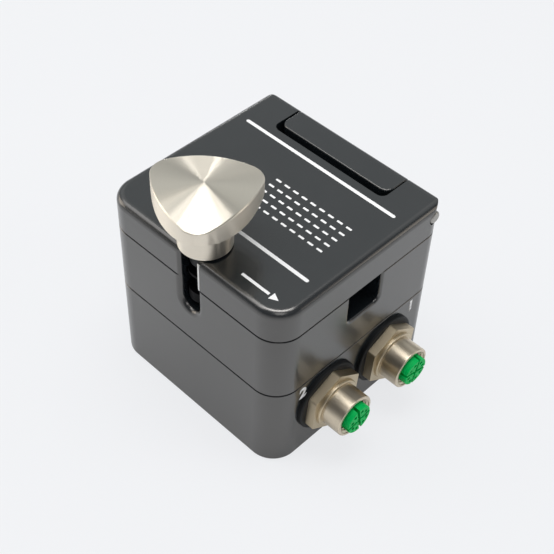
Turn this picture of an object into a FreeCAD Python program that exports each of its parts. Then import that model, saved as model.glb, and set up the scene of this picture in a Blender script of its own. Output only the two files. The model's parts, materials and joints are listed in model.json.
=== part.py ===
"""Clamp-on ultrasonic flow meter: a split metal housing with a hinged lid over a tube channel.

Millimetres, +Z up. X is the flow direction, with the two sockets on the +X face. -Y is the front, with the
clamp knob, and +Y is the back, with the hinge. The origin is the middle of the bottom face.
"""
import FreeCAD
import Part
import math
import os

V = FreeCAD.Vector

# How far a cut runs past the face that it opens
overcut = 1.0

# How far outside a region an edge may lie and still be picked
pick_margin = 0.1

# Housing: outline and levels
width = 70.0
depth = 68.0
height = 65.7
lower_height = 31.2
lid_height = 11.4
lid_gap = 0.4
seam_gap = 0.4
front_corner = 8.5
back_corner = 5.8
least_corner = 0.5
top_fillet = 2.4
seam_chamfer = 0.15
foot_fillet = 0.6
wall = 3.2
floor = 3.0

# Tube channel, between the middle body and the lid
channel_y = 1.1
channel_width = 13.4
channel_depth = 11.0
channel_corner = 2.0
mouth_fillet = 0.95

# Clamp knob, its bolt and the slot that the bolt lies in
bolt_setback = 6.8
bolt_radius = 3.0
bolt_running_clearance = 0.05
slot_clearance = 0.5
slot_below_seam = 11.4
slot_mouth_fillet = 1.8
lid_slot_clearance = 0.3
lid_mouth_fillet = 1.25
head_reach = 5.0
head_height = 3.5
head_above_slot = 3.0
ledge_thickness = 3.5
head_clearance = 0.4
bush_spigot_radius = 4.5
bush_spigot_length = 6.0
bush_flange_radius = 7.0
bush_flange_height = 0.6
clip_radius = 5.0
clip_thickness = 0.8
clip_groove = 0.5
clip_clearance = 0.1
clip_room = 1.0
clip_gap_share = 0.8

knob_axial_play = 0.05
hub_radius = 7.8
hub_overlap = 2.9
knob_total_height = 21.45
knob_top_slope = 0.16
lobe_centre = 11.2
lobe_radius = 5.6
side_radius = 35.0
dish_radius = 29.0
dish_height = 9.4
knob_turn = 69.0
knob_edge = 0.5
hub_edge = 0.2
bolt_grip = 9.5
bolt_tip_room = 0.2
bolt_thread_clearance = 0.02

# Hinge
pin_radius = 2.0
pin_proud = 0.2
pin_end_fillet = 0.7
pin_from_back = 4.2
pin_from_top = 4.5
pin_seat_clearance = 0.01
pin_running_clearance = 0.05
bush_wall = 1.0
hinge_bush_length = 8.0
ear_bore_clearance = 0.3
tab_half_width = 21.5
tab_side_gap = 0.5
tab_front_gap = 2.7
tab_depth = 10.2
tab_corner = 3.0
tab_edge = 0.5
notch_corner = 2.4
swing_clearance = 0.3

# Lid pad
pad_length = 60.0
pad_width = 22.0
pad_thickness = 3.0
pad_clearance = 0.1

# Transducers
block_half_length = 18.3
pocket_rib = 2.8
block_end = 2.9
block_nose = 8.9
block_nose_half = 6.0
block_plate = 1.4
block_clearance = 0.2
block_floor = 1.0
disc_radius = 3.4
disc_thickness = 1.2
lead_radius = 0.6
lead_hole_radius = 2.0
lead_gap = 0.02

# Space under the channel, for the electronics
cavity_roof = 4.5
cavity_wall = 5.0
cavity_boss = 11.0

# Screws that hold the housing together, from below
screw_inset_x = 7.5
screw_inset_y = 7.5
screw_radius = 1.5
screw_clearance = 0.2
screw_head_radius = 2.75
screw_head_height = 3.0
screw_head_clearance = 0.35
screw_thread_depth = 8.0
screw_seat_height = 14.0
screw_boss_wall = 1.3
thread_clearance = 0.02
thread_tip_room = 1.5
gasket_width = 1.6
gasket_thickness = 0.6

# Tapped holes for fixing the meter down
mount_spacing_x = 40.0
mount_spacing_y = 24.0
mount_hole_radius = 1.65
mount_hole_depth = 6.0
mount_boss_radius = 4.0
mount_boss_cap = 1.5

# Circuit board
board_thickness = 1.6
board_wall_gap = 1.8
board_socket_gap = 10.8
board_boss_gap = 3.1
board_lift = 5.0
board_hole_inset = 3.0
board_hole_radius = 1.35
board_screw_radius = 1.25
board_screw_head_radius = 2.4
board_screw_head_height = 1.8
board_screw_tip_room = 1.0
standoff_radius = 3.0
header_size = 4.0
header_height = 4.0
chip_sizes = ((14.0, 14.0, 1.6), (8.0, 6.0, 1.4), (6.0, 10.0, 3.0))
chip_spots = ((-8.0, 0.0), (6.0, 3.0), (-22.0, -1.0))

# Sockets on the right face
socket_spacing = 25.4
socket_height = 17.8
socket_thread_radius = 7.9
socket_hole_clearance = 0.1
socket_inside = 9.0
gasket_radius = 11.8
gasket_ring_thickness = 1.3
gasket_edge = 0.5
hex_flats = 18.6
hex_thickness = 2.9
hex_corner = 0.15
hex_turn = 25.0
collar_radius = 8.1
collar_length = 1.0
collar_edge = 0.4
barrel_radius = 7.0
barrel_reach = 11.8
barrel_edge = 0.35
socket_bore_radius = 6.1
socket_bore_depth = 8.8
insert_clearance = 0.05
insert_flange = 2.0
insert_nose_radius = 4.75
insert_nose_edge = 0.3
insert_proud = 1.75
insert_turns = (-15.0, 10.0)
insert_core_radius = 4.5
insert_core_clearance = 0.02
insert_tail = 2.0
cross_width = 0.9
cross_depth = 2.5
contact_radius = 0.55
contact_clearance = 0.03
contact_circle = 3.2
contact_pair_turn = 18.5
contact_setback = 1.5
contact_bore_radius = 0.38
contact_bore_depth = 4.0
contact_tail = 3.0
nut_flats = 18.0
nut_thickness = 3.0
nut_turn = 30.0
nut_clearance = 0.4
nut_room = 1.0

# Worked out from the sizes above
half_width = width / 2
half_depth = depth / 2
lid_seam = height - lid_height
lid_bottom = lid_seam + lid_gap
rim_top = lower_height - seam_gap
bolt_y = -half_depth + bolt_setback
slot_half = bolt_radius + slot_clearance
lid_slot_half = bolt_radius + lid_slot_clearance
slot_bottom = lid_seam - slot_below_seam
head_bottom = slot_bottom + head_above_slot
head_top = head_bottom + head_height
pocket_radius = head_reach + head_clearance
pocket_top = lid_seam - ledge_thickness
pocket_bottom = head_bottom - head_clearance
slot_back = bolt_y + pocket_radius
hub_bottom = height + bush_flange_height + knob_axial_play
knob_top = hub_bottom + knob_total_height
dish_bottom = hub_bottom + dish_height
clip_top = lid_bottom + clip_room + clip_thickness
clip_room_radius = clip_radius + slot_clearance
pin_y = half_depth - pin_from_back
pin_z = height - pin_from_top
swing_radius = pin_z - lid_seam - swing_clearance
tab_front = half_depth - tab_depth
notch_half = tab_half_width + tab_side_gap
notch_front = tab_front - tab_front_gap
channel_half = channel_width / 2
channel_floor = lid_seam - channel_depth
block_bottom = channel_floor
pocket_half_length = block_half_length + block_clearance
pocket_far = -slot_back - pocket_rib
block_far = pocket_far - block_clearance
pocket_floor = block_bottom - block_floor
block_top = lid_seam - block_clearance
cavity_top = pocket_floor - cavity_roof
screw_x = half_width - screw_inset_x
screw_y = half_depth - screw_inset_y
screw_boss_radius = screw_head_radius + screw_head_clearance + screw_boss_wall
board_left = -half_width + wall + board_wall_gap
board_right = half_width - wall - board_socket_gap
board_half_depth = screw_y - screw_boss_radius - board_boss_gap
board_bottom = floor + board_lift
board_top = board_bottom + board_thickness
hex_start = gasket_ring_thickness
hex_end = hex_start + hex_thickness
collar_end = hex_end + collar_length
bore_floor = barrel_reach - socket_bore_depth
insert_front = barrel_reach + insert_proud
insert_rear = -socket_inside - insert_tail
socket_rows = (socket_spacing / 2, -socket_spacing / 2)
nut_spot_radius = nut_flats / 2 / math.cos(math.pi / 6) + nut_clearance

screw_spots = [(sx * screw_x, sy * screw_y) for sx in (-1, 1) for sy in (-1, 1)]
mount_spots = [(sx * mount_spacing_x / 2, sy * mount_spacing_y / 2) for sx in (-1, 1) for sy in (-1, 1)]
board_x = (board_left + board_hole_inset, board_right - board_hole_inset)
board_y = board_half_depth - board_hole_inset
board_spots = [(x, sy * board_y) for x in board_x for sy in (-1, 1)]


def box(x0, x1, y0, y1, z0, z1):
    """A box between two corners."""
    return Part.makeBox(x1 - x0, y1 - y0, z1 - z0, V(x0, y0, z0))


def post(x, y, radius, z0, z1):
    """An upright cylinder."""
    return Part.makeCylinder(radius, z1 - z0, V(x, y, z0))


def rod(radius, x0, x1, y, z):
    """A cylinder along X."""
    return Part.makeCylinder(radius, x1 - x0, V(x0, y, z), V(1, 0, 0))


def joined(shapes):
    """One solid from several that touch."""
    first, rest = shapes[0], shapes[1:]
    return first.multiFuse(rest).removeSplitter() if rest else first


def pick(shape, test):
    """The edges whose box passes a test."""
    return [edge for edge in shape.Edges if test(edge.BoundBox)]


def at(value, target):
    return abs(value - target) < 1e-4


def level_edges(shape, z):
    """The edges that lie in a level plane."""
    return pick(shape, lambda b: at(b.ZMin, z) and at(b.ZMax, z))


def end_edges(shape, x):
    """The edges that lie in a plane across X."""
    return pick(shape, lambda b: at(b.XMin, x) and at(b.XMax, x))


def upright_edges(shape, y):
    """The upright edges at the front or at the back."""
    return pick(shape, lambda b: at(b.YMin, y) and at(b.YMax, y) and at(b.XMin, b.XMax))


def socket_rod(radius, near, far, y):
    """A cylinder on a socket's axis, between two distances from the right face."""
    return rod(radius, half_width + near, half_width + far, y, socket_height)


def block(z0, z1, inset=0.0):
    """The housing's plan, with large front and small back corners, between two levels."""
    x = half_width - inset
    y = half_depth - inset
    body = box(-x, x, -y, y, z0, z1)
    body = body.makeFillet(max(front_corner - inset, least_corner), upright_edges(body, -y))
    return body.makeFillet(max(back_corner - inset, least_corner), upright_edges(body, y))


def hexagon(flats, turn, x0, x1, y, z):
    """A hexagonal bar along X, with its corners broken."""
    radius = flats / 2 / math.cos(math.pi / 6)
    angles = [math.radians(turn + 60 * k) for k in range(7)]
    points = [V(x0, y + radius * math.cos(a), z + radius * math.sin(a)) for a in angles]
    bar = Part.Face(Part.makePolygon(points)).extrude(V(x1 - x0, 0, 0))
    rounder = rod(radius - hex_corner, x0, x1, y, z)
    return bar.common(rounder)


def half_space_slot(back, low, high):
    """The bolt's slot, as a cut from the front face: flat sides and a round floor."""
    front = -half_depth - overcut
    upper = box(-slot_half, slot_half, front, back, low + slot_half, high)
    bottom = Part.makeCylinder(slot_half, back - front, V(0, front, low + slot_half), V(0, 1, 0))
    return upper.fuse(bottom).removeSplitter()


def channel_cut():
    """The tube channel, right through along X and open at the top."""
    reach = half_width + overcut
    near, far = channel_y - channel_half, channel_y + channel_half
    cut = box(-reach, reach, near, far, channel_floor, lid_seam + overcut)
    low = pick(cut, lambda b: at(b.ZMax, channel_floor) and at(b.YMin, b.YMax))
    return cut.makeFillet(channel_corner, low)


def screw_bosses():
    """The four posts in the corners of the lower housing that the housing screws go through."""
    return [post(x, y, screw_boss_radius, 0, lower_height + 2 * overcut) for x, y in screw_spots]


def lower_housing():
    """The cup that holds the electronics. Its screw bosses stand over the rim and keep the seam open."""
    body = block(0, rim_top)
    body = body.makeFillet(foot_fillet, level_edges(body, 0))
    body = body.makeChamfer(seam_chamfer, level_edges(body, rim_top))
    body = joined([body, block(floor, lower_height, wall - gasket_width)])
    bosses = screw_bosses()
    solid_inside = list(bosses)
    for x, y in mount_spots:
        solid_inside.append(post(x, y, mount_boss_radius, 0, mount_hole_depth + mount_boss_cap))
    for x, y in board_spots:
        solid_inside.append(post(x, y, standoff_radius, 0, board_bottom))
    body = body.cut(block(floor, lower_height + overcut, wall).cut(solid_inside))
    cuts = [block(lower_height - gasket_thickness, lower_height + overcut, wall - gasket_width).cut(bosses)]
    for x, y in screw_spots:
        cuts.append(post(x, y, screw_radius + screw_clearance, 0, lower_height + overcut))
        cuts.append(post(x, y, screw_head_radius + screw_head_clearance, -overcut, screw_seat_height))
    for x, y in mount_spots:
        cuts.append(post(x, y, mount_hole_radius, -overcut, mount_hole_depth))
    for x, y in board_spots:
        cuts.append(post(x, y, board_screw_radius + thread_clearance, floor, board_bottom + overcut))
    for y in socket_rows:
        cuts.append(socket_rod(socket_thread_radius + socket_hole_clearance, -2 * wall, overcut, y))
        cuts.append(socket_rod(nut_spot_radius, -wall - nut_thickness - nut_room, -wall, y))
    return body.cut(cuts).removeSplitter()


def housing_gasket():
    """The flat seal in the step of the lower housing's rim."""
    ring = block(lower_height - gasket_thickness, lower_height, wall - gasket_width)
    return ring.cut([block(0, lower_height + overcut, wall)] + screw_bosses())


def hinge_tab():
    """The tab at the back of the middle body that holds the hinge pin, level with the lid."""
    tab = box(-tab_half_width, tab_half_width, tab_front, half_depth, lid_seam - overcut, height)
    tab = tab.makeFillet(tab_corner, pick(tab, lambda b: at(b.XMin, b.XMax) and at(b.YMax, tab_front)))
    tab = tab.makeFillet(top_fillet, pick(tab, lambda b: at(b.YMin, half_depth) and at(b.ZMin, height)))
    rim = [edge for edge in level_edges(tab, height) if edge.BoundBox.YMin < tab_front + tab_corner / 2]
    return tab.makeFillet(tab_edge, rim)


def middle_body():
    """The body with the tube channel, the transducer pockets, the bolt's slot and the hinge tab."""
    body = block(lower_height, lid_seam)
    body = body.makeChamfer(seam_chamfer, level_edges(body, lower_height) + level_edges(body, lid_seam))
    body = body.cut(half_space_slot(slot_back, slot_bottom, lid_seam + overcut))
    front = lambda b: at(b.YMin, -half_depth) and at(b.YMax, -half_depth)
    narrow = lambda b: max(abs(b.XMin), abs(b.XMax)) < slot_half + pick_margin
    body = body.makeFillet(slot_mouth_fillet, pick(body, lambda b: front(b) and narrow(b)))
    body = body.cut(channel_cut())
    ends = lambda b: at(b.XMin, b.XMax) and at(abs(b.XMin), half_width)
    inside = lambda b: max(abs(b.YMin - channel_y), abs(b.YMax - channel_y)) < channel_half + pick_margin
    body = body.makeFillet(mouth_fillet, pick(body, lambda b: ends(b) and inside(b)))
    body = joined([body, hinge_tab()])
    cavity_x = half_width - cavity_wall
    cavity_y = half_depth - cavity_wall
    short_x = cavity_x - cavity_boss
    short_y = cavity_y - cavity_boss
    below = lower_height - overcut
    cuts = [box(-cavity_x, cavity_x, -short_y, short_y, below, cavity_top),
            box(-short_x, short_x, -cavity_y, cavity_y, below, cavity_top),
            post(0, bolt_y, pocket_radius, pocket_bottom, pocket_top)]
    half_length, above = pocket_half_length, lid_seam + overcut
    near, far = channel_y - pocket_far, channel_y + pocket_far
    cuts.append(box(-half_length, half_length, near, far, pocket_floor, above))
    for x, y in lead_spots():
        cuts.append(post(x, y, lead_hole_radius, cavity_top - overcut, pocket_floor + overcut))
    for x, y in screw_spots:
        hole = screw_radius + thread_clearance
        cuts.append(post(x, y, hole, below, lower_height + screw_thread_depth + thread_tip_room))
    cuts.append(rod(pin_radius + pin_seat_clearance, -half_width, half_width, pin_y, pin_z))
    return body.cut(cuts).removeSplitter()


def block_face(side):
    """Middle, outward direction and length of the right-hand sloping back of a coupling block."""
    end = V(block_half_length, channel_y + side * (channel_half + block_end), 0)
    nose = V(block_nose_half, channel_y + side * (channel_half + block_nose), 0)
    along = nose - end
    outward = V(along.y * -side, along.x * side, 0) * -1
    outward = outward if outward.y * side > 0 else outward * -1
    return (end + nose) * 0.5, outward.normalize()


def coupling_block(side):
    """A block between the tube and its two transducers, with sloping backs and a cover plate."""
    near = channel_y + side * channel_half
    shape = [(-block_half_length, 0), (block_half_length, 0), (block_half_length, block_end),
             (block_nose_half, block_nose), (-block_nose_half, block_nose), (-block_half_length, block_end)]
    points = [V(x, near + side * y, block_bottom) for x, y in shape]
    core = Part.Face(Part.makePolygon(points + points[:1])).extrude(V(0, 0, block_top - block_bottom))
    y0, y1 = sorted((near, channel_y + side * block_far))
    plate = box(-block_half_length, block_half_length, y0, y1, block_top - block_plate, block_top)
    return joined([core, plate])


def disc_middles(side):
    """Where the two transducer discs of a block sit, and which way they face."""
    middle, outward = block_face(side)
    z = (block_bottom + block_top - block_plate) / 2
    for turn in (-1, 1):
        yield V(turn * middle.x, middle.y, z), V(turn * outward.x, outward.y, 0)


def transducer_discs(side):
    discs = [Part.makeCylinder(disc_radius, disc_thickness, spot, out) for spot, out in disc_middles(side)]
    return Part.makeCompound(discs)


def lead_spots():
    """Where the four leads stand, just behind the discs."""
    for side in (-1, 1):
        for spot, out in disc_middles(side):
            foot = spot + out * (disc_thickness + lead_radius + lead_gap)
            yield foot.x, foot.y


def transducer_leads():
    top = (block_bottom + block_top - block_plate) / 2
    low = board_top + header_height
    return Part.makeCompound([post(x, y, lead_radius, low, top) for x, y in lead_spots()])


def main_board():
    board = box(board_left, board_right, -board_half_depth, board_half_depth, board_bottom, board_top)
    low, high = board_bottom - overcut, board_top + overcut
    return board.cut([post(x, y, board_hole_radius, low, high) for x, y in board_spots])


def on_board(x, y, length, breadth, thick):
    """A block that stands on the board."""
    half_x, half_y = length / 2, breadth / 2
    return box(x - half_x, x + half_x, y - half_y, y + half_y, board_top, board_top + thick)


def board_headers():
    """The four terminals that the leads end in."""
    size = (header_size, header_size, header_height)
    return Part.makeCompound([on_board(*spot, *size) for spot in lead_spots()])


def board_chips():
    return Part.makeCompound([on_board(*spot, *size) for spot, size in zip(chip_spots, chip_sizes)])


def cap_screw(x, y, seat, tip, radius, head_radius, head_height, up):
    """A socket-head screw: up is 1 where it points up, with its head below the seat."""
    z0, z1 = sorted((seat, tip))
    h0, h1 = sorted((seat, seat - up * head_height))
    recess_depth = head_height / 2
    low = h0 if up > 0 else h1 - recess_depth
    recess = post(x, y, head_radius / 2, low, low + recess_depth)
    return joined([post(x, y, radius, z0, z1), post(x, y, head_radius, h0, h1)]).cut(recess)


def housing_screws():
    tip = lower_height + screw_thread_depth
    return Part.makeCompound([cap_screw(x, y, screw_seat_height, tip, screw_radius, screw_head_radius,
                                        screw_head_height, 1) for x, y in screw_spots])


def board_screws():
    tip = floor + board_screw_tip_room
    return Part.makeCompound([cap_screw(x, y, board_top, tip, board_screw_radius, board_screw_head_radius,
                                        board_screw_head_height, -1) for x, y in board_spots])


def socket_shell(y):
    """A socket's metal shell: thread through the wall, hex, collar and round barrel with a bore."""
    barrel = socket_rod(barrel_radius, hex_end, barrel_reach, y)
    barrel = barrel.makeFillet(barrel_edge, end_edges(barrel, half_width + barrel_reach))
    collar = socket_rod(collar_radius, hex_start, collar_end, y)
    collar = collar.makeFillet(collar_edge, end_edges(collar, half_width + collar_end))
    thread = socket_rod(socket_thread_radius, -socket_inside, hex_end, y)
    flats = hexagon(hex_flats, hex_turn, half_width + hex_start, half_width + hex_end, y, socket_height)
    body = joined([flats, barrel, collar, thread])
    bore = socket_rod(socket_bore_radius, bore_floor, barrel_reach + overcut, y)
    core = socket_rod(insert_core_radius + insert_core_clearance, -socket_inside - overcut, barrel_reach, y)
    return body.cut([bore, core]).removeSplitter()


def socket_gasket(y):
    """The black ring between the hex and the housing."""
    ring = socket_rod(gasket_radius, 0, gasket_ring_thickness, y)
    ring = ring.makeFillet(gasket_edge, end_edges(ring, half_width + gasket_ring_thickness))
    return ring.cut(socket_rod(socket_thread_radius + socket_hole_clearance, -overcut, hex_end, y))


def contact_spots(y, turn):
    """The eight contacts: two in each quarter between the arms of the cross."""
    for quarter in range(4):
        for side in (-1, 1):
            angle = math.radians(turn + 45 + 90 * quarter + side * contact_pair_turn)
            yield y + contact_circle * math.cos(angle), socket_height + contact_circle * math.sin(angle)


def cross_slot(y, turn):
    """The cross-shaped slot in the free end of an insert, which keys the plug."""
    front = half_width + insert_front
    x0, x1 = front - cross_depth, front + overcut
    reach, half = insert_nose_radius + overcut, cross_width / 2
    level = box(x0, x1, y - reach, y + reach, socket_height - half, socket_height + half)
    upright = box(x0, x1, y - half, y + half, socket_height - reach, socket_height + reach)
    cross = joined([level, upright])
    cross.rotate(V(0, y, socket_height), V(1, 0, 0), turn)
    return cross


def socket_insert(y, turn):
    """The plastic insert: a flange in the bore, a nose that stands out of the barrel and a core behind."""
    flange_end = bore_floor + insert_flange
    nose = socket_rod(insert_nose_radius, bore_floor, insert_front, y)
    nose = nose.makeFillet(insert_nose_edge, end_edges(nose, half_width + insert_front))
    flange = socket_rod(socket_bore_radius - insert_clearance, bore_floor, flange_end, y)
    core = socket_rod(insert_core_radius, insert_rear, flange_end, y)
    cuts = [cross_slot(y, turn)]
    rear, front = half_width + insert_rear - overcut, half_width + insert_front + overcut
    for cy, cz in contact_spots(y, turn):
        cuts.append(rod(contact_radius + contact_clearance, rear, front, cy, cz))
    return joined([flange, nose, core]).cut(cuts)


def socket_contacts(y, turn):
    """The eight contact sleeves of a socket."""
    front = half_width + insert_front - contact_setback
    rear = half_width + insert_rear - contact_tail
    sleeves = []
    for cy, cz in contact_spots(y, turn):
        bore = rod(contact_bore_radius, front - contact_bore_depth, front + overcut, cy, cz)
        sleeves.append(rod(contact_radius, rear, front, cy, cz).cut(bore))
    return Part.makeCompound(sleeves)


def socket_nut(y):
    """The nut that holds a socket, against the inside of the wall."""
    x = half_width - wall
    nut = hexagon(nut_flats, nut_turn, x - nut_thickness, x, y, socket_height)
    far = -wall - nut_thickness - overcut
    return nut.cut(socket_rod(socket_thread_radius + thread_clearance, far, overcut - wall, y))


def hinge_pin():
    """The pin along the back, with rounded ends."""
    reach = half_width + pin_proud
    pin = rod(pin_radius, -reach, reach, pin_y, pin_z)
    return pin.makeFillet(pin_end_fillet, end_edges(pin, -reach) + end_edges(pin, reach))


def hinge_bush(side):
    """A plain sleeve in the inner end of a lid ear."""
    x0, x1 = sorted((side * notch_half, side * (notch_half + hinge_bush_length)))
    inner = pin_radius + pin_running_clearance
    bore = rod(inner, x0 - overcut, x1 + overcut, pin_y, pin_z)
    return rod(inner + bush_wall, x0, x1, pin_y, pin_z).cut(bore)


def lid_slot():
    """The bolt's slot through the lid: a round end at the bolt, and a mouth that flares to the front face."""
    front = -half_depth
    outside = front - overcut
    half = lid_slot_half
    inner = front + lid_mouth_fillet
    wide = half + lid_mouth_fillet
    bend = lid_mouth_fillet * (1 - math.sqrt(0.5))
    mid_x, mid_y = half + bend, front + bend
    round_end = Part.Arc(V(half, bolt_y, 0), V(0, bolt_y + half, 0), V(-half, bolt_y, 0))
    outline = [Part.makeLine(V(-wide, outside, 0), V(wide, outside, 0)),
               Part.makeLine(V(wide, outside, 0), V(wide, front, 0)),
               Part.Arc(V(wide, front, 0), V(mid_x, mid_y, 0), V(half, inner, 0)).toShape(),
               Part.makeLine(V(half, inner, 0), V(half, bolt_y, 0)),
               round_end.toShape(),
               Part.makeLine(V(-half, bolt_y, 0), V(-half, inner, 0)),
               Part.Arc(V(-half, inner, 0), V(-mid_x, mid_y, 0), V(-wide, front, 0)).toShape(),
               Part.makeLine(V(-wide, front, 0), V(-wide, outside, 0))]
    face = Part.Face(Part.Wire(outline))
    face.translate(V(0, 0, lid_bottom - overcut))
    return face.extrude(V(0, 0, height - lid_bottom + 2 * overcut))


def notch_cut():
    """The notch in the back of the lid, round the hinge tab."""
    low, high = lid_bottom - overcut, height + overcut
    cut = box(-notch_half, notch_half, notch_front, half_depth + overcut, low, high)
    return cut.makeFillet(notch_corner, pick(cut, lambda b: at(b.XMin, b.XMax) and at(b.YMax, notch_front)))


def ear_relief():
    """What is cut from the lower back edge of the lid's ears, so that they swing clear of the body."""
    reach = half_width + overcut
    below = box(-reach, reach, pin_y, half_depth + overcut, lid_bottom - overcut, pin_z)
    return below.cut(rod(swing_radius, -reach - overcut, reach + overcut, pin_y, pin_z))


def lid_blank():
    """The lid's outside. The back corners are cut after the top edges are rounded, and end in sharp tips."""
    body = box(-half_width, half_width, -half_depth, half_depth, lid_bottom, height)
    body = body.makeFillet(front_corner, upright_edges(body, -half_depth))
    body = body.makeFillet(top_fillet, level_edges(body, height))
    body = body.common(block(lid_bottom, height))
    return body.makeChamfer(seam_chamfer, level_edges(body, lid_bottom))


def lid():
    """The hinged lid: a plate with rounded edges, the bolt's slot in front and a notch behind."""
    body = lid_blank()
    half_length = pad_length / 2 + pad_clearance
    half_pad = pad_width / 2 + pad_clearance
    below = lid_bottom - overcut
    cuts = [lid_slot(), ear_relief(), notch_cut(),
            post(0, bolt_y, bush_spigot_radius, height - bush_spigot_length, height + overcut),
            post(0, bolt_y, clip_room_radius, below, clip_top + clip_clearance),
            box(-half_length, half_length, channel_y - half_pad, channel_y + half_pad,
                below, lid_bottom + pad_thickness)]
    bush = pin_radius + pin_running_clearance + bush_wall
    for side in (-1, 1):
        x0, x1 = sorted((side * notch_half, side * (notch_half + hinge_bush_length)))
        cuts.append(rod(bush, x0, x1, pin_y, pin_z))
    reach = half_width + overcut
    cuts.append(rod(pin_radius + ear_bore_clearance, -reach, reach, pin_y, pin_z))
    return body.cut(cuts).removeSplitter()


def lid_pad():
    """The pad in the lid that presses on the tube."""
    half_x, half_y = pad_length / 2, pad_width / 2
    y0, y1 = channel_y - half_y, channel_y + half_y
    return box(-half_x, half_x, y0, y1, lid_bottom, lid_bottom + pad_thickness)


def bolt_bush():
    """The flanged bush that keeps the bolt in the lid's open slot and carries the knob's hub."""
    flange = post(0, bolt_y, bush_flange_radius, height, height + bush_flange_height)
    spigot = post(0, bolt_y, bush_spigot_radius, height - bush_spigot_length, height)
    bore = post(0, bolt_y, bolt_radius + bolt_running_clearance, lid_seam, hub_bottom)
    return joined([flange, spigot]).cut(bore)


def clamp_bolt():
    """The bolt with a hammer head, which lies along the slot and turns under its ledges."""
    shank = post(0, bolt_y, bolt_radius, head_bottom, hub_bottom + bolt_grip)
    head = box(-bolt_radius, bolt_radius, bolt_y - head_reach, bolt_y + head_reach, head_bottom, head_top)
    head = head.common(post(0, bolt_y, head_reach, head_bottom, head_top))
    groove = post(0, bolt_y, bolt_radius + overcut, clip_top - clip_thickness, clip_top)
    groove = groove.cut(post(0, bolt_y, bolt_radius - clip_groove, clip_top - clip_thickness, clip_top))
    return joined([shank, head]).cut(groove)


def retaining_clip():
    """The open ring in the bolt's groove, under the lid."""
    inner = bolt_radius - clip_groove + thread_clearance
    z0, z1 = clip_top - clip_thickness, clip_top
    low, high = z0 - overcut, z1 + overcut
    half_gap = inner * clip_gap_share
    ring = post(0, bolt_y, clip_radius, z0, z1).cut(post(0, bolt_y, inner, low, high))
    return ring.cut(box(-half_gap, half_gap, bolt_y, bolt_y + clip_radius + overcut, low, high))


def knob_prism():
    """The knob's three-lobed plan: round corners joined by slightly bulging sides."""
    edges = []
    half = lobe_centre * math.sin(math.pi / 3)
    reach = math.sqrt((side_radius - lobe_radius) ** 2 - half ** 2)
    polar = lambda r, a: V(r * math.cos(a), r * math.sin(a), 0)
    for k in range(3):
        a0 = math.radians(knob_turn + 120 * k)
        a1 = a0 + math.radians(120)
        across = (a0 + a1) / 2
        c0, c1 = polar(lobe_centre, a0), polar(lobe_centre, a1)
        centre = polar(lobe_centre * 0.5 - reach, across)
        start = c0 + (c0 - centre).normalize() * lobe_radius
        end = c1 + (c1 - centre).normalize() * lobe_radius
        edges.append(Part.Arc(start, centre + polar(side_radius, across), end).toShape())
        next_across = across + math.radians(120)
        next_centre = polar(lobe_centre * 0.5 - reach, next_across)
        follow = c1 + (c1 - next_centre).normalize() * lobe_radius
        edges.append(Part.Arc(end, polar(lobe_centre + lobe_radius, a1), follow).toShape())
    face = Part.Face(Part.Wire(edges))
    face.translate(V(0, bolt_y, hub_bottom))
    return face.extrude(V(0, 0, knob_total_height + overcut))


def clamp_knob():
    """The turned knob: a low cone on top, three lobes, a dished underside and a round hub."""
    blank_radius = lobe_centre + lobe_radius + overcut
    cone_height = knob_top_slope * blank_radius
    shoulder = knob_top - cone_height
    cone = Part.makeCone(blank_radius, 0, cone_height, V(0, bolt_y, shoulder))
    blank = joined([post(0, bolt_y, blank_radius, hub_bottom, shoulder), cone])
    dish = Part.makeSphere(dish_radius, V(0, bolt_y, dish_bottom + dish_radius))
    head = knob_prism().common(blank).common(dish)
    rim = pick(head, lambda b: b.ZMin > shoulder and b.DiagonalLength > lobe_radius)
    head = head.makeFillet(knob_edge, rim)
    hub = post(0, bolt_y, hub_radius, hub_bottom, dish_bottom + hub_overlap)
    hub = hub.makeFillet(hub_edge, level_edges(hub, hub_bottom))
    hole_end = hub_bottom + bolt_grip + bolt_tip_room
    hole = post(0, bolt_y, bolt_radius + bolt_thread_clearance, hub_bottom - overcut, hole_end)
    return joined([head, hub]).cut(hole)


nodes = {
    "lower_housing": lower_housing(),
    "housing_gasket": housing_gasket(),
    "middle_body": middle_body(),
    "coupling_block_front": coupling_block(-1),
    "coupling_block_rear": coupling_block(1),
    "transducer_discs_front": transducer_discs(-1),
    "transducer_discs_rear": transducer_discs(1),
    "transducer_leads": transducer_leads(),
    "main_board": main_board(),
    "board_headers": board_headers(),
    "board_chips": board_chips(),
    "board_screws": board_screws(),
    "housing_screws": housing_screws(),
    "hinge_pin": hinge_pin(),
    "lid": lid(),
    "lid_pad": lid_pad(),
    "hinge_bush_left": hinge_bush(-1),
    "hinge_bush_right": hinge_bush(1),
    "bolt_bush": bolt_bush(),
    "clamp_knob": clamp_knob(),
    "clamp_bolt": clamp_bolt(),
    "retaining_clip": retaining_clip(),
}
for number, (row, turn) in enumerate(zip(socket_rows, insert_turns), start=1):
    nodes[f"socket_{number}_shell"] = socket_shell(row)
    nodes[f"socket_{number}_gasket"] = socket_gasket(row)
    nodes[f"socket_{number}_insert"] = socket_insert(row, turn)
    nodes[f"socket_{number}_contacts"] = socket_contacts(row, turn)
    nodes[f"socket_{number}_nut"] = socket_nut(row)

os.makedirs("parts", exist_ok=True)
for name, shape in nodes.items():
    shape.exportStep(f"parts/{name}.step")
print(len(nodes), "parts written")
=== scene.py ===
# %% [markdown]
# # A clamp-on flow meter
# The meter is a dark metal box that shuts round a soft tube. A hinged lid, a turned clamp knob and two
# round cable sockets are what a visitor sees first. The CAD model already holds every rigid shape, so
# this lesson loads it as a fixed frame and spends its time on finishes, print and the fine parts that a
# CAD model leaves plain. All lengths are in metres, in the frame of the CAD model, so a new piece is
# built where it belongs.

# %% Load the frame
import json
import math

import bmesh
import bpy
from mathutils import Matrix, Vector


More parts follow.
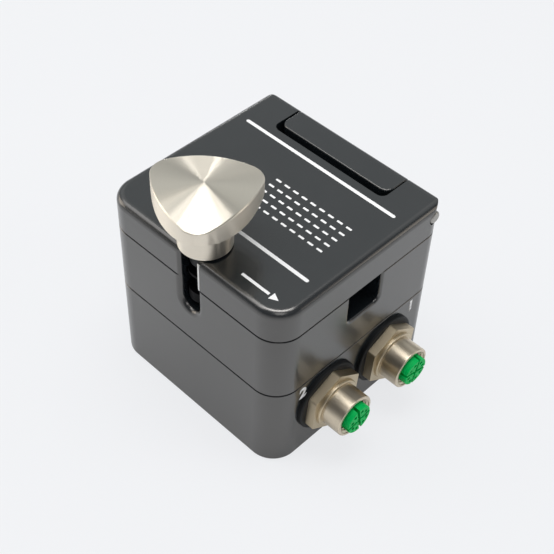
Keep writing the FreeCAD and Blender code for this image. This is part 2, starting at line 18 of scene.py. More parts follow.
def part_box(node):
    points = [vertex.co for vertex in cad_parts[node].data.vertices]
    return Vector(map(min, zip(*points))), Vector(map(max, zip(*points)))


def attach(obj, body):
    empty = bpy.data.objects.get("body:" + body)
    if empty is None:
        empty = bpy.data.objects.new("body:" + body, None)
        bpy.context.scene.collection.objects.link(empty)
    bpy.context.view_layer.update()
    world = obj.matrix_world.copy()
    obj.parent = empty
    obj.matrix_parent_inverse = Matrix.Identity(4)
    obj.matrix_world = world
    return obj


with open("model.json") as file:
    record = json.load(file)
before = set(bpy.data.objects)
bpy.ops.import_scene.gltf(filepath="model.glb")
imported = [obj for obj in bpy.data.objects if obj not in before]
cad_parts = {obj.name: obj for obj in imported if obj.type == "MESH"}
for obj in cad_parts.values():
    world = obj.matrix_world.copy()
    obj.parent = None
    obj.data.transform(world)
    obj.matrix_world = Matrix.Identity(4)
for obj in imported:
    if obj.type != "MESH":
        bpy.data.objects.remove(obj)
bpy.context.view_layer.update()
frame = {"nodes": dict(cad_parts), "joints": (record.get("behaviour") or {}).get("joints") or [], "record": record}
cad_nodes = frame["nodes"]
scene = bpy.context.scene
scene.view_settings.view_transform = "Standard"
MM = 0.001
merge_distance = 0.001 * MM

# %% [markdown]
# ## Where things are
# Nothing is measured twice: the places that the later cells need are read from the frame. The knob turns
# about a joint, so the joint's point gives the axis of the knob. A socket's middle is the middle of its
# gasket's box.

# %% Read places from the frame
joint_places = {joint["name"]: Vector(joint["pos_m"]) for joint in frame["joints"]}
knob_axis = joint_places["knob_turn"]
lid_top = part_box("lid")[1].z
right_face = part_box("lower_housing")[1].x


def socket_middle(number):
    """The point of a socket's axis that lies in the right face of the housing."""
    low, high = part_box(f"socket_{number}_gasket")
    return Vector((low.x, (low.y + high.y) / 2, (low.z + high.z) / 2))


socket_middles = {number: socket_middle(number) for number in (1, 2)}
print("knob axis", [round(value, 4) for value in knob_axis], "lid top", round(lid_top, 4))

# %% [markdown]
# ## The camera
# The picture looks down on the corner between the front and the right face. Azimuth, elevation and roll
# turn the camera, and its three axes are worked out from them, because a camera that is aimed with a
# constraint can't roll. The focal length is known in pixels of a square picture, and the sensor's width
# turns that into millimetres.

# %% Camera
camera_azimuth = math.radians(42.79)
camera_elevation = math.radians(46.95)
camera_roll = math.radians(2.41)
camera_eye = Vector((0.16108, -0.17197, 0.28391))
focal_pixels = 1126.4
picture_pixels = 554
sensor_mm = 36.0
nearest_seen = 10 * MM


def camera_axes(azimuth, elevation, roll):
    """The camera's right, up and backward directions."""
    flat = math.cos(elevation)
    back = Vector((math.sin(azimuth) * flat, -math.cos(azimuth) * flat, math.sin(elevation)))
    level = Vector((math.cos(azimuth), math.sin(azimuth), 0))
    upright = back.cross(level)
    right = level * math.cos(roll) + upright * math.sin(roll)
    return right, back.cross(right), back


camera_data = bpy.data.cameras.new("camera")
camera_data.sensor_fit = "HORIZONTAL"
camera_data.sensor_width = sensor_mm
camera_data.lens = focal_pixels / picture_pixels * sensor_mm
camera_data.clip_start = nearest_seen
camera = bpy.data.objects.new("camera", camera_data)
turn = Matrix(camera_axes(camera_azimuth, camera_elevation, camera_roll)).transposed()
camera.matrix_world = Matrix.Translation(camera_eye) @ turn.to_4x4()
scene.collection.objects.link(camera)
scene.camera = camera
print("camera lens", round(camera_data.lens, 1), "mm")

# %% [markdown]
# ## Small helpers for node trees
# Every finish below is a small graph of nodes. Two helpers keep the graphs readable: one adds a node with
# its settings and its fixed inputs, the other joins an output to an input by their names.

# %% Node helpers
def add_node(tree, kind, inputs=None, **settings):
    """A new shader node with its settings, and with numbers or colours on some of its inputs."""
    node = tree.nodes.new("ShaderNode" + kind)
    for name, value in settings.items():
        setattr(node, name, value)
    for name, value in (inputs or {}).items():
        node.inputs[name].default_value = value
    return node


def join(tree, source, output, target, entry):
    tree.links.new(source.outputs[output], target.inputs[entry])


def new_material(name, **sockets):
    """A material with a Principled shader, and the values that are the same all over it."""
    material = bpy.data.materials.new(name)
    material.use_nodes = True
    shader = material.node_tree.nodes["Principled BSDF"]
    for socket, value in sockets.items():
        shader.inputs[socket.replace("_", " ")].default_value = value
    return material, material.node_tree, shader


print("node helpers ready")

# %% [markdown]
# ## The studio
# A product picture of this kind is taken on a pale sweep: a floor that bends up into a wall, so that no
# line shows behind the object. A profile of a few edges is spun round the vertical axis. A part of the
# floor's brightness is fixed, which keeps it pale, and the rest is ordinary shading, which keeps the
# shadow. The fixed part is large for the camera and smaller for reflections, so the foot of the box
# mirrors the shadow around it.

# %% Pale sweep
sweep_colour = (0.87, 0.88, 0.9, 1)
sweep_radius = 1.6
bend_radius = 0.9
bend_angle = math.radians(70)
bend_steps = 16
round_steps = 96
floor_gap = 0.05 * MM
paper_roughness = 0.9
seen_share = 0.86
mirrored_share = 0.35


def sweep_mesh():
    """A disc whose rim bends upwards."""
    bm = bmesh.new()
    centre = bm.verts.new((0, 0, -floor_gap))
    edge = bm.verts.new((sweep_radius, 0, -floor_gap))
    bm.edges.new((centre, edge))
    bend = Vector((sweep_radius, 0, bend_radius))
    bmesh.ops.spin(bm, geom=[edge], cent=bend, axis=(0, -1, 0), angle=bend_angle, steps=bend_steps)
    bmesh.ops.spin(bm, geom=bm.verts[:] + bm.edges[:], cent=(0, 0, 0), axis=(0, 0, 1),
                   angle=math.tau, steps=round_steps, use_merge=True)
    bmesh.ops.remove_doubles(bm, verts=bm.verts[:], dist=merge_distance)
    bmesh.ops.recalc_face_normals(bm, faces=bm.faces[:])
    for face in bm.faces:
        face.smooth = True
    mesh = bpy.data.meshes.new("sweep")
    bm.to_mesh(mesh)
    bm.free()
    return mesh


def sweep_finish():
    """Pale paper: shaded for lighting, partly of fixed brightness for the camera and for reflections."""
    material, tree, shader = new_material("sweep_paper", Base_Color=sweep_colour, Roughness=paper_roughness)
    glow = add_node(tree, "Emission", {"Color": sweep_colour, "Strength": 1.0})
    path = add_node(tree, "LightPath")
    mirrors = add_node(tree, "Math", operation="MAXIMUM")
    seen = add_node(tree, "Math", {1: seen_share}, operation="MULTIPLY")
    share = add_node(tree, "Math", {1: mirrored_share}, operation="MULTIPLY_ADD")
    pale = add_node(tree, "MixShader")
    join(tree, path, "Is Glossy Ray", mirrors, 0)
    join(tree, path, "Is Transmission Ray", mirrors, 1)
    join(tree, path, "Is Camera Ray", seen, 0)
    join(tree, mirrors, "Value", share, 0)
    join(tree, seen, "Value", share, 2)
    join(tree, share, "Value", pale, "Fac")
    join(tree, shader, "BSDF", pale, 1)
    join(tree, glow, "Emission", pale, 2)
    join(tree, pale, "Shader", tree.nodes["Material Output"], "Surface")
    return material


sweep = bpy.data.objects.new("sweep", sweep_mesh())
sweep.data.materials.append(sweep_finish())
scene.collection.objects.link(sweep)
print("sweep faces", len(sweep.data.polygons))

# %% [markdown]
# ## The light
# The knob's turned top mirrors its surroundings as fans. A key lamp overhead, with bright strips on
# both sides of it, gives the white fan towards the viewer. A low panel behind the object, with a thin
# strip at each side, gives the fan away from the viewer and that fan's bright edges. Between the fans
# the knob mirrors a dim wall and its two wings, and the lid mirrors the wall. A lobe on the left widens
# the white fan on that side, and a warm lamp stands low on either side, for the knob's edge, the hub and
# the sockets. A lamp above the camera lights the flats of the hexes. One soft lamp on the right is
# hidden from reflections and only brightens print and plastic. A fan's direction depends on how far a
# lamp lies to the left and to the back, as the camera sees it, so the table gives each lamp's place
# that way. The length of a lamp points at the spot that the lid mirrors to the camera.

# %% Lamps and sky
light_target = Vector((0, 0, 0.05))
sky_colour = (0.94, 0.96, 1.0, 1)
sky_strength = 0.18
white = (1.0, 1.0, 1.0)
cool = (0.91, 0.98, 1.0)
warm = (1.0, 0.91, 0.8)
lamp_table = [
    # name, share to the left, share to the back, distance, length, breadth, watts, colour
    ("key", 0.0, 0.0, 0.8, 0.26, 0.46, 3.1, white),
    ("key_strip_left", 0.33, 0.06, 0.8, 0.4, 0.04, 0.45, white),
    ("key_strip_far", 0.47, 0.07, 0.8, 0.4, 0.1, 0.3, white),
    ("key_strip_right", -0.33, 0.06, 0.8, 0.4, 0.04, 0.45, white),
    ("back", 0.125, 0.955, 0.9, 0.3, 0.15, 0.075, white),
    ("back_strip_left", 0.225, 0.95, 0.9, 0.2, 0.012, 0.11, white),
    ("back_strip_right", 0.022, 0.96, 0.9, 0.2, 0.012, 0.15, white),
    ("wall", 0.0, 0.67, 1.0, 1.1, 2.6, 3.1, cool),
    ("wing_left", 0.5, 0.62, 1.0, 0.5, 0.6, 0.25, white),
    ("wing_right", -0.5, 0.62, 1.0, 0.5, 0.6, 0.25, white),
    ("left_lobe", 0.62, 0.1, 0.9, 0.5, 0.5, 1.4, white),
    ("left_low", 0.95, 0.22, 0.9, 0.45, 0.55, 1.9, warm),
    ("right_low", -0.97, 0.0, 0.9, 0.35, 0.3, 0.5, warm),
    ("front_top", -0.08, -0.6, 0.9, 0.4, 0.4, 0.85, white),
    ("right_soft", -0.9, -0.1, 0.8, 0.5, 0.5, 1.0, white),
]
hidden_from_reflections = ["right_soft"]


def heading(left, back):
    """The direction of a lamp from its shares to the left and to the back, as the camera sees it."""
    to_left = Vector((-math.cos(camera_azimuth), -math.sin(camera_azimuth), 0))
    to_back = Vector((-math.sin(camera_azimuth), math.cos(camera_azimuth), 0))
    flat = to_left * left + to_back * back
    return flat + Vector((0, 0, math.sqrt(1 - flat.length_squared)))


mirrored = heading(0, math.cos(camera_elevation))


def panel(name, left, back, distance, length, breadth, watts, colour):
    """A flat lamp that looks at the object."""
    data = bpy.data.lights.new(name, "AREA")
    data.shape = "RECTANGLE"
    data.size = length
    data.size_y = breadth
    data.energy = watts
    data.color = colour
    middle = heading(left, back)
    across = middle.cross(mirrored).normalized()
    lamp = bpy.data.objects.new(name, data)
    axes = Matrix((across.cross(middle), across, middle)).transposed()
    lamp.matrix_world = Matrix.Translation(light_target + middle * distance) @ axes.to_4x4()
    lamp.visible_camera = False
    lamp.visible_glossy = name not in hidden_from_reflections
    scene.collection.objects.link(lamp)


for row in lamp_table:
    panel(*row)
world = bpy.data.worlds.new("studio")
world.use_nodes = True
world.node_tree.nodes["Background"].inputs["Color"].default_value = sky_colour
world.node_tree.nodes["Background"].inputs["Strength"].default_value = sky_strength
scene.world = world
print("lamps:", [item.name for item in bpy.data.lights])

# %% [markdown]
# ## Shared effect: fine grain
# Blasted metal, moulded plastic and rubber all have a faint unevenness: slow clouds in their tone and a
# fine grain in their surface. One node group makes both from noise, and each material gives it a scale of
# its own.

# %% Fine grain group
def new_group(name, entries, exits):
    """An empty node group with named inputs and outputs."""
    group = bpy.data.node_groups.new(name, "ShaderNodeTree")
    for label, kind in entries:
        group.interface.new_socket(label, in_out="INPUT", socket_type="NodeSocket" + kind)
    for label, kind in exits:
        group.interface.new_socket(label, in_out="OUTPUT", socket_type="NodeSocket" + kind)
    return group, group.nodes.new("NodeGroupInput"), group.nodes.new("NodeGroupOutput")


grains_in_cloud = 20.0
cloud_noise = {"Detail": 3.0, "Roughness": 0.55}
grain_noise = {"Detail": 2.0, "Roughness": 0.6}


def fine_grain_group():
    """Clouds of about one unit of the scale, and grains that are a fixed number of times finer."""
    group, enter, leave = new_group("fine_grain", [("Vector", "Vector"), ("Scale", "Float")],
                                    [("Cloud", "Float"), ("Grain", "Float")])
    finer = add_node(group, "Math", {1: grains_in_cloud}, operation="MULTIPLY")
    cloud = add_node(group, "TexNoise", cloud_noise)
    grain = add_node(group, "TexNoise", grain_noise)
    join(group, enter, "Scale", finer, 0)
    join(group, enter, "Vector", cloud, "Vector")
    join(group, enter, "Scale", cloud, "Scale")
    join(group, enter, "Vector", grain, "Vector")
    join(group, finer, "Value", grain, "Scale")
    join(group, cloud, "Fac", leave, "Cloud")
    join(group, grain, "Fac", leave, "Grain")
    return group


fine_grain = fine_grain_group()
print("group", fine_grain.name, "outputs", [item.name for item in fine_grain.interface.items_tree])

# %% [markdown]
# ## Shared effect: turned marks
# A lathe leaves fine rings: their height changes with the distance from the axis, and on a cylinder with
# the place along the axis. Noise that reads only those two numbers gives rings on a face and lines round
# a barrel. The group takes the offset from a point of the axis and the axis itself, so it serves the knob
# and the sockets.

# %% Turned marks group
ring_noise = {"Scale": 1.0, "Detail": 4.0, "Roughness": 0.7}


def turned_marks_group():
    """Rings round an axis, with a density in rings for each metre."""
    group, enter, leave = new_group(
        "turned_marks", [("Offset", "Vector"), ("Axis", "Vector"), ("Density", "Float")],
        [("Marks", "Float"), ("Radius", "Float")])
    across = add_node(group, "VectorMath", operation="CROSS_PRODUCT")
    radius = add_node(group, "VectorMath", operation="LENGTH")
    along = add_node(group, "VectorMath", operation="DOT_PRODUCT")
    place = add_node(group, "CombineXYZ")
    spread = add_node(group, "VectorMath", operation="SCALE")
    rings = add_node(group, "TexNoise", ring_noise)
    join(group, enter, "Offset", across, 0)
    join(group, enter, "Axis", across, 1)
    join(group, across, "Vector", radius, 0)
    join(group, enter, "Offset", along, 0)
    join(group, enter, "Axis", along, 1)
    join(group, radius, "Value", place, "X")
    join(group, along, "Value", place, "Y")
    join(group, place, "Vector", spread, 0)
    join(group, enter, "Density", spread, "Scale")
    join(group, spread, "Vector", rings, "Vector")
    join(group, rings, "Fac", leave, "Marks")
    join(group, radius, "Value", leave, "Radius")
    return group


turned_marks = turned_marks_group()
print("group", turned_marks.name, "ready")

# %% [markdown]
# ## Grained finishes
# Most pieces of the meter have one of a few grained finishes. The same short graph makes them all: the
# clouds mix two near tones and shift the roughness a little, and the grain feeds a bump. Only the numbers
# differ, so one function is enough, and a table of finishes reads like a paint list.

# %% Grained finish
grain_strength = 0.5

# The colour sockets of a Mix node go by number, because its other sockets share their names
mix_first = 6
mix_second = 7
mix_result = 2


def use_group(tree, group, **numbers):
    """A group in a node tree, with numbers on some of its inputs."""
    node = tree.nodes.new("ShaderNodeGroup")
    node.node_tree = group
    for name, value in numbers.items():
        node.inputs[name].default_value = value
    return node


def two_tones(tree, dark, light):
    """A node that mixes a dark and a light tone."""
    tones = {mix_first: (*dark, 1), mix_second: (*light, 1)}
    return add_node(tree, "Mix", tones, data_type="RGBA", name="tone")


def grained(name, dark, light, roughness, cloud_size, grain_height, **sockets):
    """A surface with two near tones and a fine grain. Roughness is a low and a high value."""
    material, tree, shader = new_material(name, **sockets)
    place = add_node(tree, "TexCoord")
    grain = use_group(tree, fine_grain, Scale=1 / cloud_size)
    tone = two_tones(tree, dark, light)
    gloss = add_node(tree, "MapRange", {"To Min": roughness[0], "To Max": roughness[1]})
    bump = add_node(tree, "Bump", {"Strength": grain_strength, "Distance": grain_height})
    join(tree, place, "Object", grain, "Vector")
    join(tree, grain, "Cloud", tone, 0)
    join(tree, tone, mix_result, shader, "Base Color")
    join(tree, grain, "Cloud", gloss, "Value")
    join(tree, gloss, "Result", shader, "Roughness")
    join(tree, grain, "Grain", bump, "Height")
    join(tree, bump, "Normal", shader, "Normal")
    return material


finish_table = {
    # slot: name, dark tone, light tone, range of roughness, cloud size and grain height in millimetres
    "anodised": ("anodised_slate", (0.007, 0.010, 0.0125), (0.010, 0.013, 0.0155), (0.2, 0.25), 9, 0.004),
    "rubber": ("seal_rubber", (0.003, 0.0035, 0.004), (0.007, 0.008, 0.009), (0.5, 0.65), 3, 0.02),
    "green_plastic": ("insert_green", (0.0, 0.42, 0.085), (0.0, 0.51, 0.105), (0.4, 0.55), 2, 0.01),
    "block": ("coupling_block_black", (0.004, 0.004, 0.005), (0.008, 0.008, 0.009), (0.4, 0.55), 4, 0.01),
    "ceramic": ("disc_silver", (0.62, 0.6, 0.55), (0.72, 0.7, 0.66), (0.3, 0.5), 2, 0.01),
    "lead": ("lead_red", (0.32, 0.03, 0.02), (0.42, 0.05, 0.03), (0.4, 0.5), 2, 0.01),
    "board": ("board_green", (0.01, 0.11, 0.05), (0.015, 0.15, 0.07), (0.25, 0.35), 5, 0.01),
    "black_plastic": ("moulded_black", (0.004, 0.004, 0.005), (0.008, 0.008, 0.009), (0.4, 0.55), 3, 0.015),
    "screw_steel": ("screw_steel", (0.42, 0.42, 0.42), (0.52, 0.52, 0.52), (0.3, 0.42), 2, 0.01),
    "black_steel": ("blackened_steel", (0.001, 0.001, 0.0015), (0.002, 0.002, 0.003), (0.5, 0.6), 2, 0.01),
    "bronze": ("bush_bronze", (0.36, 0.2, 0.08), (0.46, 0.28, 0.12), (0.35, 0.5), 2, 0.01),
    "gold": ("contact_gold", (0.62, 0.42, 0.14), (0.72, 0.5, 0.18), (0.2, 0.3), 1, 0.004),
}
shader_values = {
    # slot: values of the shader that are the same all over the finish
    "anodised": {"IOR": 1.9, "Specular_Tint": (1.0, 0.965, 0.925, 1)},
    "rubber": {"Specular_IOR_Level": 0.25},
    "green_plastic": {"Specular_IOR_Level": 0.1},
    "block": {"Specular_IOR_Level": 0.2},
    "ceramic": {"Metallic": 0.7},
    "black_plastic": {"Specular_IOR_Level": 0.2},
    "screw_steel": {"Metallic": 1.0},
    "black_steel": {"Specular_IOR_Level": 0.08},
    "bronze": {"Metallic": 1.0},
    "gold": {"Metallic": 1.0},
}
finishes = {}
for slot, (name, dark, light, roughness, cloud_size, grain_height) in finish_table.items():
    finishes[slot] = grained(name, dark, light, roughness, cloud_size * MM, grain_height * MM,
                             **shader_values.get(slot, {}))
print("grained finishes:", len(finishes))

# %% [markdown]
# ## Turned metal
# The knob and the sockets are turned and left bright. Their rings are far finer than a pixel, so their
# effect is anisotropy: the shader is smooth along a ring and rough across it. It needs a direction at
# each point, which is the cross product of the axis and the offset from it. The visible rings come from
# the turned marks group. A socket's hex is milled instead, so beyond the barrel's radius its metal is
# darker and rougher.

# %% Turned metal finish
ring_strength = 0.4
quarter_turn = 0.25


def turned_metal(name, dark, light, roughness, centre, axis, density, ring_height, anisotropy):
    """Bright metal with rings round an axis through a point. Density is in rings for each metre."""
    material, tree, shader = new_material(name, Metallic=1.0, Anisotropic=anisotropy,
                                          Anisotropic_Rotation=quarter_turn)
    place = add_node(tree, "TexCoord")
    offset = add_node(tree, "VectorMath", {1: centre}, operation="SUBTRACT")
    round_axis = add_node(tree, "VectorMath", {0: axis}, operation="CROSS_PRODUCT")
    to_world = add_node(tree, "VectorTransform", vector_type="VECTOR", convert_from="OBJECT",
                        convert_to="WORLD")
    rings = use_group(tree, turned_marks, Axis=axis, Density=density)
    rings.name = "rings"
    tone = two_tones(tree, dark, light)
    gloss = add_node(tree, "MapRange", {"To Min": roughness[0], "To Max": roughness[1]}, name="gloss")
    bump = add_node(tree, "Bump", {"Strength": ring_strength, "Distance": ring_height})
    join(tree, place, "Object", offset, 0)
    join(tree, offset, "Vector", round_axis, 1)
    join(tree, round_axis, "Vector", to_world, "Vector")
    join(tree, to_world, "Vector", shader, "Tangent")
    join(tree, offset, "Vector", rings, "Offset")
    join(tree, rings, "Marks", tone, 0)
    join(tree, tone, mix_result, shader, "Base Color")
    join(tree, rings, "Marks", gloss, "Value")
    join(tree, gloss, "Result", shader, "Roughness")
    join(tree, rings, "Marks", bump, "Height")
    join(tree, bump, "Normal", shader, "Normal")
    return material


def mill_beyond(material, radius, extra_roughness):
    """Makes a turned metal darker and rougher outside a radius, where it is milled and not turned."""
    tree = material.node_tree
    rings, tone, gloss = (tree.nodes[name] for name in ("rings", "tone", "gloss"))
    milled = add_node(tree, "Math", {1: radius}, operation="GREATER_THAN")
    turned = add_node(tree, "Math", operation="SUBTRACT", use_clamp=True)
    rougher = add_node(tree, "Math", {1: extra_roughness}, operation="MULTIPLY_ADD")
    join(tree, rings, "Radius", milled, 0)
    join(tree, rings, "Marks", turned, 0)
    join(tree, milled, "Value", turned, 1)
    join(tree, turned, "Value", tone, 0)
    join(tree, milled, "Value", rougher, 0)
    join(tree, gloss, "Result", rougher, 2)
    join(tree, rougher, "Value", tree.nodes["Principled BSDF"], "Roughness")


milled_roughness = 0.06
barrel_radius = 7.2 * MM
up = (0.0, 0.0, 1.0)
outward = (1.0, 0.0, 0.0)
knob_metal = turned_metal(
    "knob_turned_steel", (0.74, 0.68, 0.575), (0.84, 0.775, 0.665), (0.27, 0.32), knob_axis, up,
    density=6000.0, ring_height=0.002 * MM, anisotropy=1.0)
socket_metals = {}
for number, middle in socket_middles.items():
    socket_metals[number] = turned_metal(
        f"socket_{number}_nickel", (0.53, 0.45, 0.32), (0.64, 0.575, 0.48), (0.3, 0.36), middle, outward,
        density=5000.0, ring_height=0.001 * MM, anisotropy=0.4)
    mill_beyond(socket_metals[number], barrel_radius, milled_roughness)
pin_metal = turned_metal(
    "pin_ground_steel", (0.3, 0.29, 0.27), (0.36, 0.35, 0.33), (0.3, 0.4), joint_places["lid_hinge"],
    outward, density=5000.0, ring_height=0.002 * MM, anisotropy=0.4)
print("turned metals:", knob_metal.name, [item.name for item in socket_metals.values()], pin_metal.name)

# %% [markdown]
# ## Dress the CAD nodes
# The record says which finish each node has. Three slots take a turned metal: the knob and the pin have
# one each, and a socket's shell and nut have the one that is made for their own axis.

# %% Give each CAD node its finish
finishes["knob_steel"] = knob_metal
finishes["pin_steel"] = pin_metal
for entry in frame["record"]["subparts"]:
    name, slot = entry["node"], entry["material_slot"]
    if slot == "nickel":
        finish = socket_metals[int(name.split("_")[1])]
    else:
        finish = finishes[slot]
    cad_nodes[name].material_slots[0].material = finish

# %% [markdown]
# ## Helpers for new pieces
# A new piece starts as a bmesh and ends as an object that rides on a body of the meter. Printed marks are
# thin raised films of ink: a flat outline, extruded by a few hundredths of a millimetre.

# %% Piece helpers
ink_height = 0.04 * MM
ink_sunk = 0.01 * MM
corner_segments = 8


def finished_piece(name, bm, body, material):
    """An object at the origin that rides on a body and has a finish."""
    bmesh.ops.recalc_face_normals(bm, faces=bm.faces[:])
    mesh = bpy.data.meshes.new(name)
    bm.to_mesh(mesh)
    bm.free()
    mesh.materials.append(material)
    obj = bpy.data.objects.new(name, mesh)
    scene.collection.objects.link(obj)
    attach(obj, body)
    return obj


def thicken(bm, direction):
    """Gives every face of a flat bmesh the thickness of a film of ink."""
    grown = bmesh.ops.extrude_face_region(bm, geom=bm.faces[:])
    verts = [item for item in grown["geom"] if isinstance(item, bmesh.types.BMVert)]
    bmesh.ops.translate(bm, verts=verts, vec=direction * (ink_height + ink_sunk))


def flat_bar(bm, x0, x1, y0, y1, z, rounding=0.0):
    """A level rectangle, with rounded corners if asked."""
    corners = [bm.verts.new(point) for point in ((x0, y0, z), (x1, y0, z), (x1, y1, z), (x0, y1, z))]
    bm.faces.new(corners)
    if rounding:
        bmesh.ops.bevel(bm, geom=corners, offset=rounding, affect="VERTICES", segments=corner_segments,
                        profile=0.5, material=-1)


ink = grained("ink_white", (0.78, 0.78, 0.78), (0.86, 0.86, 0.86), (0.4, 0.5), 3 * MM, 0.004 * MM)
print("piece helpers ready")

# %% [markdown]
# ## Print on the lid
# Two white rules run along the lid, with rounded ends. Between them is a plain field of short dashes in
# rows, and at the front an arrow shows the flow direction. Each mark is a flat outline, and all are
# thickened at once.

# %% Rules, dashes and arrow
rule_reach = 29.6 * MM
rule_offset = 17.65 * MM
rule_width = 1.15 * MM
rule_rounding = 0.49 * rule_width
dash_columns = 9
dash_rows = 5
dash_size = Vector((2.0 * MM, 0.7 * MM))
dash_pitch = Vector((3.4 * MM, 3.0 * MM))
dash_rounding = 0.3 * dash_size.y
dash_middle = Vector((10.0 * MM, -1.0 * MM))
arrow_tip = Vector((28.9 * MM, -28.2 * MM))
arrow_length = 2.6 * MM
arrow_half = 1.3 * MM
arrow_gap = 0.8 * MM
arrow_bar = Vector((11.0 * MM, 0.9 * MM))


def lid_print_mesh():
    """All marks of the lid as thin raised films."""
    bm = bmesh.new()
    z = lid_top - ink_sunk
    half_dash = dash_size / 2
    for side in (-1, 1):
        y = side * rule_offset
        half = rule_width / 2
        flat_bar(bm, -rule_reach, rule_reach, y - half, y + half, z, rule_rounding)
    for row in range(dash_rows):
        for column in range(dash_columns):
            x = dash_middle.x + (column - (dash_columns - 1) / 2) * dash_pitch.x
            y = dash_middle.y + (row - (dash_rows - 1) / 2) * dash_pitch.y
            flat_bar(bm, x - half_dash.x, x + half_dash.x, y - half_dash.y, y + half_dash.y, z, dash_rounding)
    back = arrow_tip.x - arrow_length
    near, far = arrow_tip.y - arrow_half, arrow_tip.y + arrow_half
    head = [(back, near, z), (arrow_tip.x, arrow_tip.y, z), (back, far, z)]
    bm.faces.new([bm.verts.new(point) for point in head])
    half_bar = arrow_bar.y / 2
    flat_bar(bm, back - arrow_bar.x, back - arrow_gap, arrow_tip.y - half_bar, arrow_tip.y + half_bar, z)
    thicken(bm, Vector((0, 0, 1)))
    return bm


lid_print = finished_piece("lid_print", lid_print_mesh(), "lid", ink)
print("lid print faces", len(lid_print.data.polygons))

# %% [markdown]
# ## Port numbers
# The two sockets are numbered 1 and 2 beside their gaskets. Blender's own plain font draws them. A text
# object is made a mesh at once, then turned upright so that it lies on the right face, and thickened like
# the other ink.

# %% Port numbers
digit_height = 4.5 * MM
digit_boldness = 0.04
curve_steps = 6
digit_spots = {1: (24.2 * MM, 25.4 * MM), 2: (-24.3 * MM, 25.1 * MM)}
onto_right_face = Matrix(((0, 0, 1), (1, 0, 0), (0, 1, 0))).to_4x4()


def digit_mesh(number, corner_y, corner_z):
    """A digit on the right face, with its lower left corner at a place."""
    text = bpy.data.curves.new(f"digit_{number}", "FONT")
    text.body = str(number)
    text.resolution_u = curve_steps
    text.offset = digit_boldness
    drawn = bpy.data.objects.new(f"digit_{number}", text)
    mesh = bpy.data.meshes.new_from_object(drawn)
    bpy.data.objects.remove(drawn)
    bpy.data.curves.remove(text)
    bm = bmesh.new()
    bm.from_mesh(mesh)
    bpy.data.meshes.remove(mesh)
    low_x = min(vert.co.x for vert in bm.verts)
    low_y = min(vert.co.y for vert in bm.verts)
    tall = max(vert.co.y for vert in bm.verts) - low_y
    size = Matrix.Scale(digit_height / tall, 4)
    corner = Matrix.Translation((right_face - ink_sunk, corner_y, corner_z))
    start = Matrix.Translation((-low_x, -low_y, 0))
    bmesh.ops.transform(bm, matrix=corner @ onto_right_face @ size @ start, verts=bm.verts[:])
    thicken(bm, Vector((1, 0, 0)))
    return bm


for number, (corner_y, corner_z) in digit_spots.items():
    outline = digit_mesh(number, corner_y, corner_z)
    digit = finished_piece(f"port_number_{number}", outline, "housing", ink)
    print(digit.name, "faces", len(digit.data.polygons))

# %% [markdown]
# ## The bare edge of the slot, with a painted highlight
# The rounding on the right of the lid's slot is worn to bright metal, and shows as a thin white line
# beside the dark slot. That white line is partly painted: the strip has a near-white colour of its own,
# which paints the glint of the rounding and stays white under any lamp. A film that follows a rounding
# could be bent from a strip, but the lid already has the exact shape. So a copy of the lid is merged and
# cut with planes until only the worn strip is left, and that strip is thickened along its normals. The
# lid itself isn't touched.

# %% Bare edge with a painted highlight
edge_cuts = [
    # a point of the plane, and the side of it that is cut away
    ((0, -33.58 * MM, 0), (0, 1, 0)),
    ((4.65 * MM, 0, 0), (1, 0, 0)),
    ((0, 0, 0), (-1, 0, 0)),
    ((0, 0, 54.9 * MM), (0, 0, -1)),
]


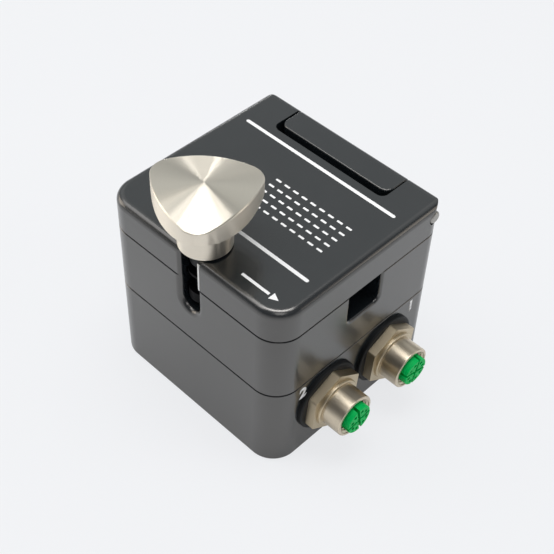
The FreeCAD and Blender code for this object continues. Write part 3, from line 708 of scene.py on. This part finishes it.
def bare_edge_mesh():
    """The worn strip of the lid's surface, as a thin film whose colour is a painted highlight."""
    bm = bmesh.new()
    bm.from_mesh(cad_nodes["lid"].data)
    bmesh.ops.remove_doubles(bm, verts=bm.verts[:], dist=merge_distance)
    for point, away in edge_cuts:
        everything = bm.verts[:] + bm.edges[:] + bm.faces[:]
        bmesh.ops.bisect_plane(bm, geom=everything, plane_co=point, plane_no=away, clear_outer=True)
    bm.normal_update()
    for vert in bm.verts:
        vert.co -= vert.normal * ink_sunk
    grown = bmesh.ops.extrude_face_region(bm, geom=bm.faces[:])
    bm.normal_update()
    for item in grown["geom"]:
        if isinstance(item, bmesh.types.BMVert):
            item.co += item.normal * (ink_sunk + ink_height)
    return bm


# A near-white non-metal: the bare edge's colour paints the glint of the rounding, a painted highlight.
bare_and_highlight = grained("bare_metal_painted_highlight", (0.82, 0.82, 0.8), (0.9, 0.9, 0.88), (0.35, 0.45), 2 * MM, 0.002 * MM)
bare_edge_and_highlight = finished_piece("slot_bare_edge_painted_highlight", bare_edge_mesh(), "lid", bare_and_highlight)
edge_heights = [vert.co.z for vert in bare_edge_and_highlight.data.vertices]
print("bare edge from", round(min(edge_heights), 4), "to", round(max(edge_heights), 4))

# %% [markdown]
# ## Threads in the sockets
# A cable plug screws into the barrel, so its bore is threaded. Seen from outside only a few bright rings
# show between the rim and the green insert. A zigzag outline, closed along the bore's wall, is spun round
# the socket's axis.

# %% Socket threads
thread_pitch = 1.0 * MM
thread_depth = 0.55 * MM
thread_turns = 6
thread_root = 0.05 * MM
thread_steps = 64
thread_clearance = 0.02 * MM
bore_radius = 6.1 * MM
rim_setback = 0.25 * MM


def thread_mesh(number):
    """A ring of zigzag turns inside the mouth of a socket."""
    bm = bmesh.new()
    middle = socket_middles[number]
    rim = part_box(f"socket_{number}_shell")[1].x - rim_setback
    wall = bore_radius - thread_clearance
    outline = [(rim, wall)]
    for k in range(thread_turns):
        x = rim - k * thread_pitch
        outline.append((x, wall - thread_root))
        outline.append((x - thread_pitch / 2, wall - thread_depth))
    outline.append((rim - thread_turns * thread_pitch, wall - thread_root))
    outline.append((rim - thread_turns * thread_pitch, wall))
    verts = [bm.verts.new((x, middle.y, middle.z + radius)) for x, radius in outline]
    edges = [bm.edges.new((verts[k - 1], verts[k])) for k in range(len(verts))]
    bmesh.ops.spin(bm, geom=verts + edges, cent=middle, axis=outward, angle=math.tau,
                   steps=thread_steps, use_merge=True)
    bmesh.ops.remove_doubles(bm, verts=bm.verts[:], dist=merge_distance)
    return bm


for number in socket_middles:
    ring = thread_mesh(number)
    thread = finished_piece(f"socket_{number}_thread", ring, "housing", socket_metals[number])
    print(thread.name, "faces", len(thread.data.polygons))
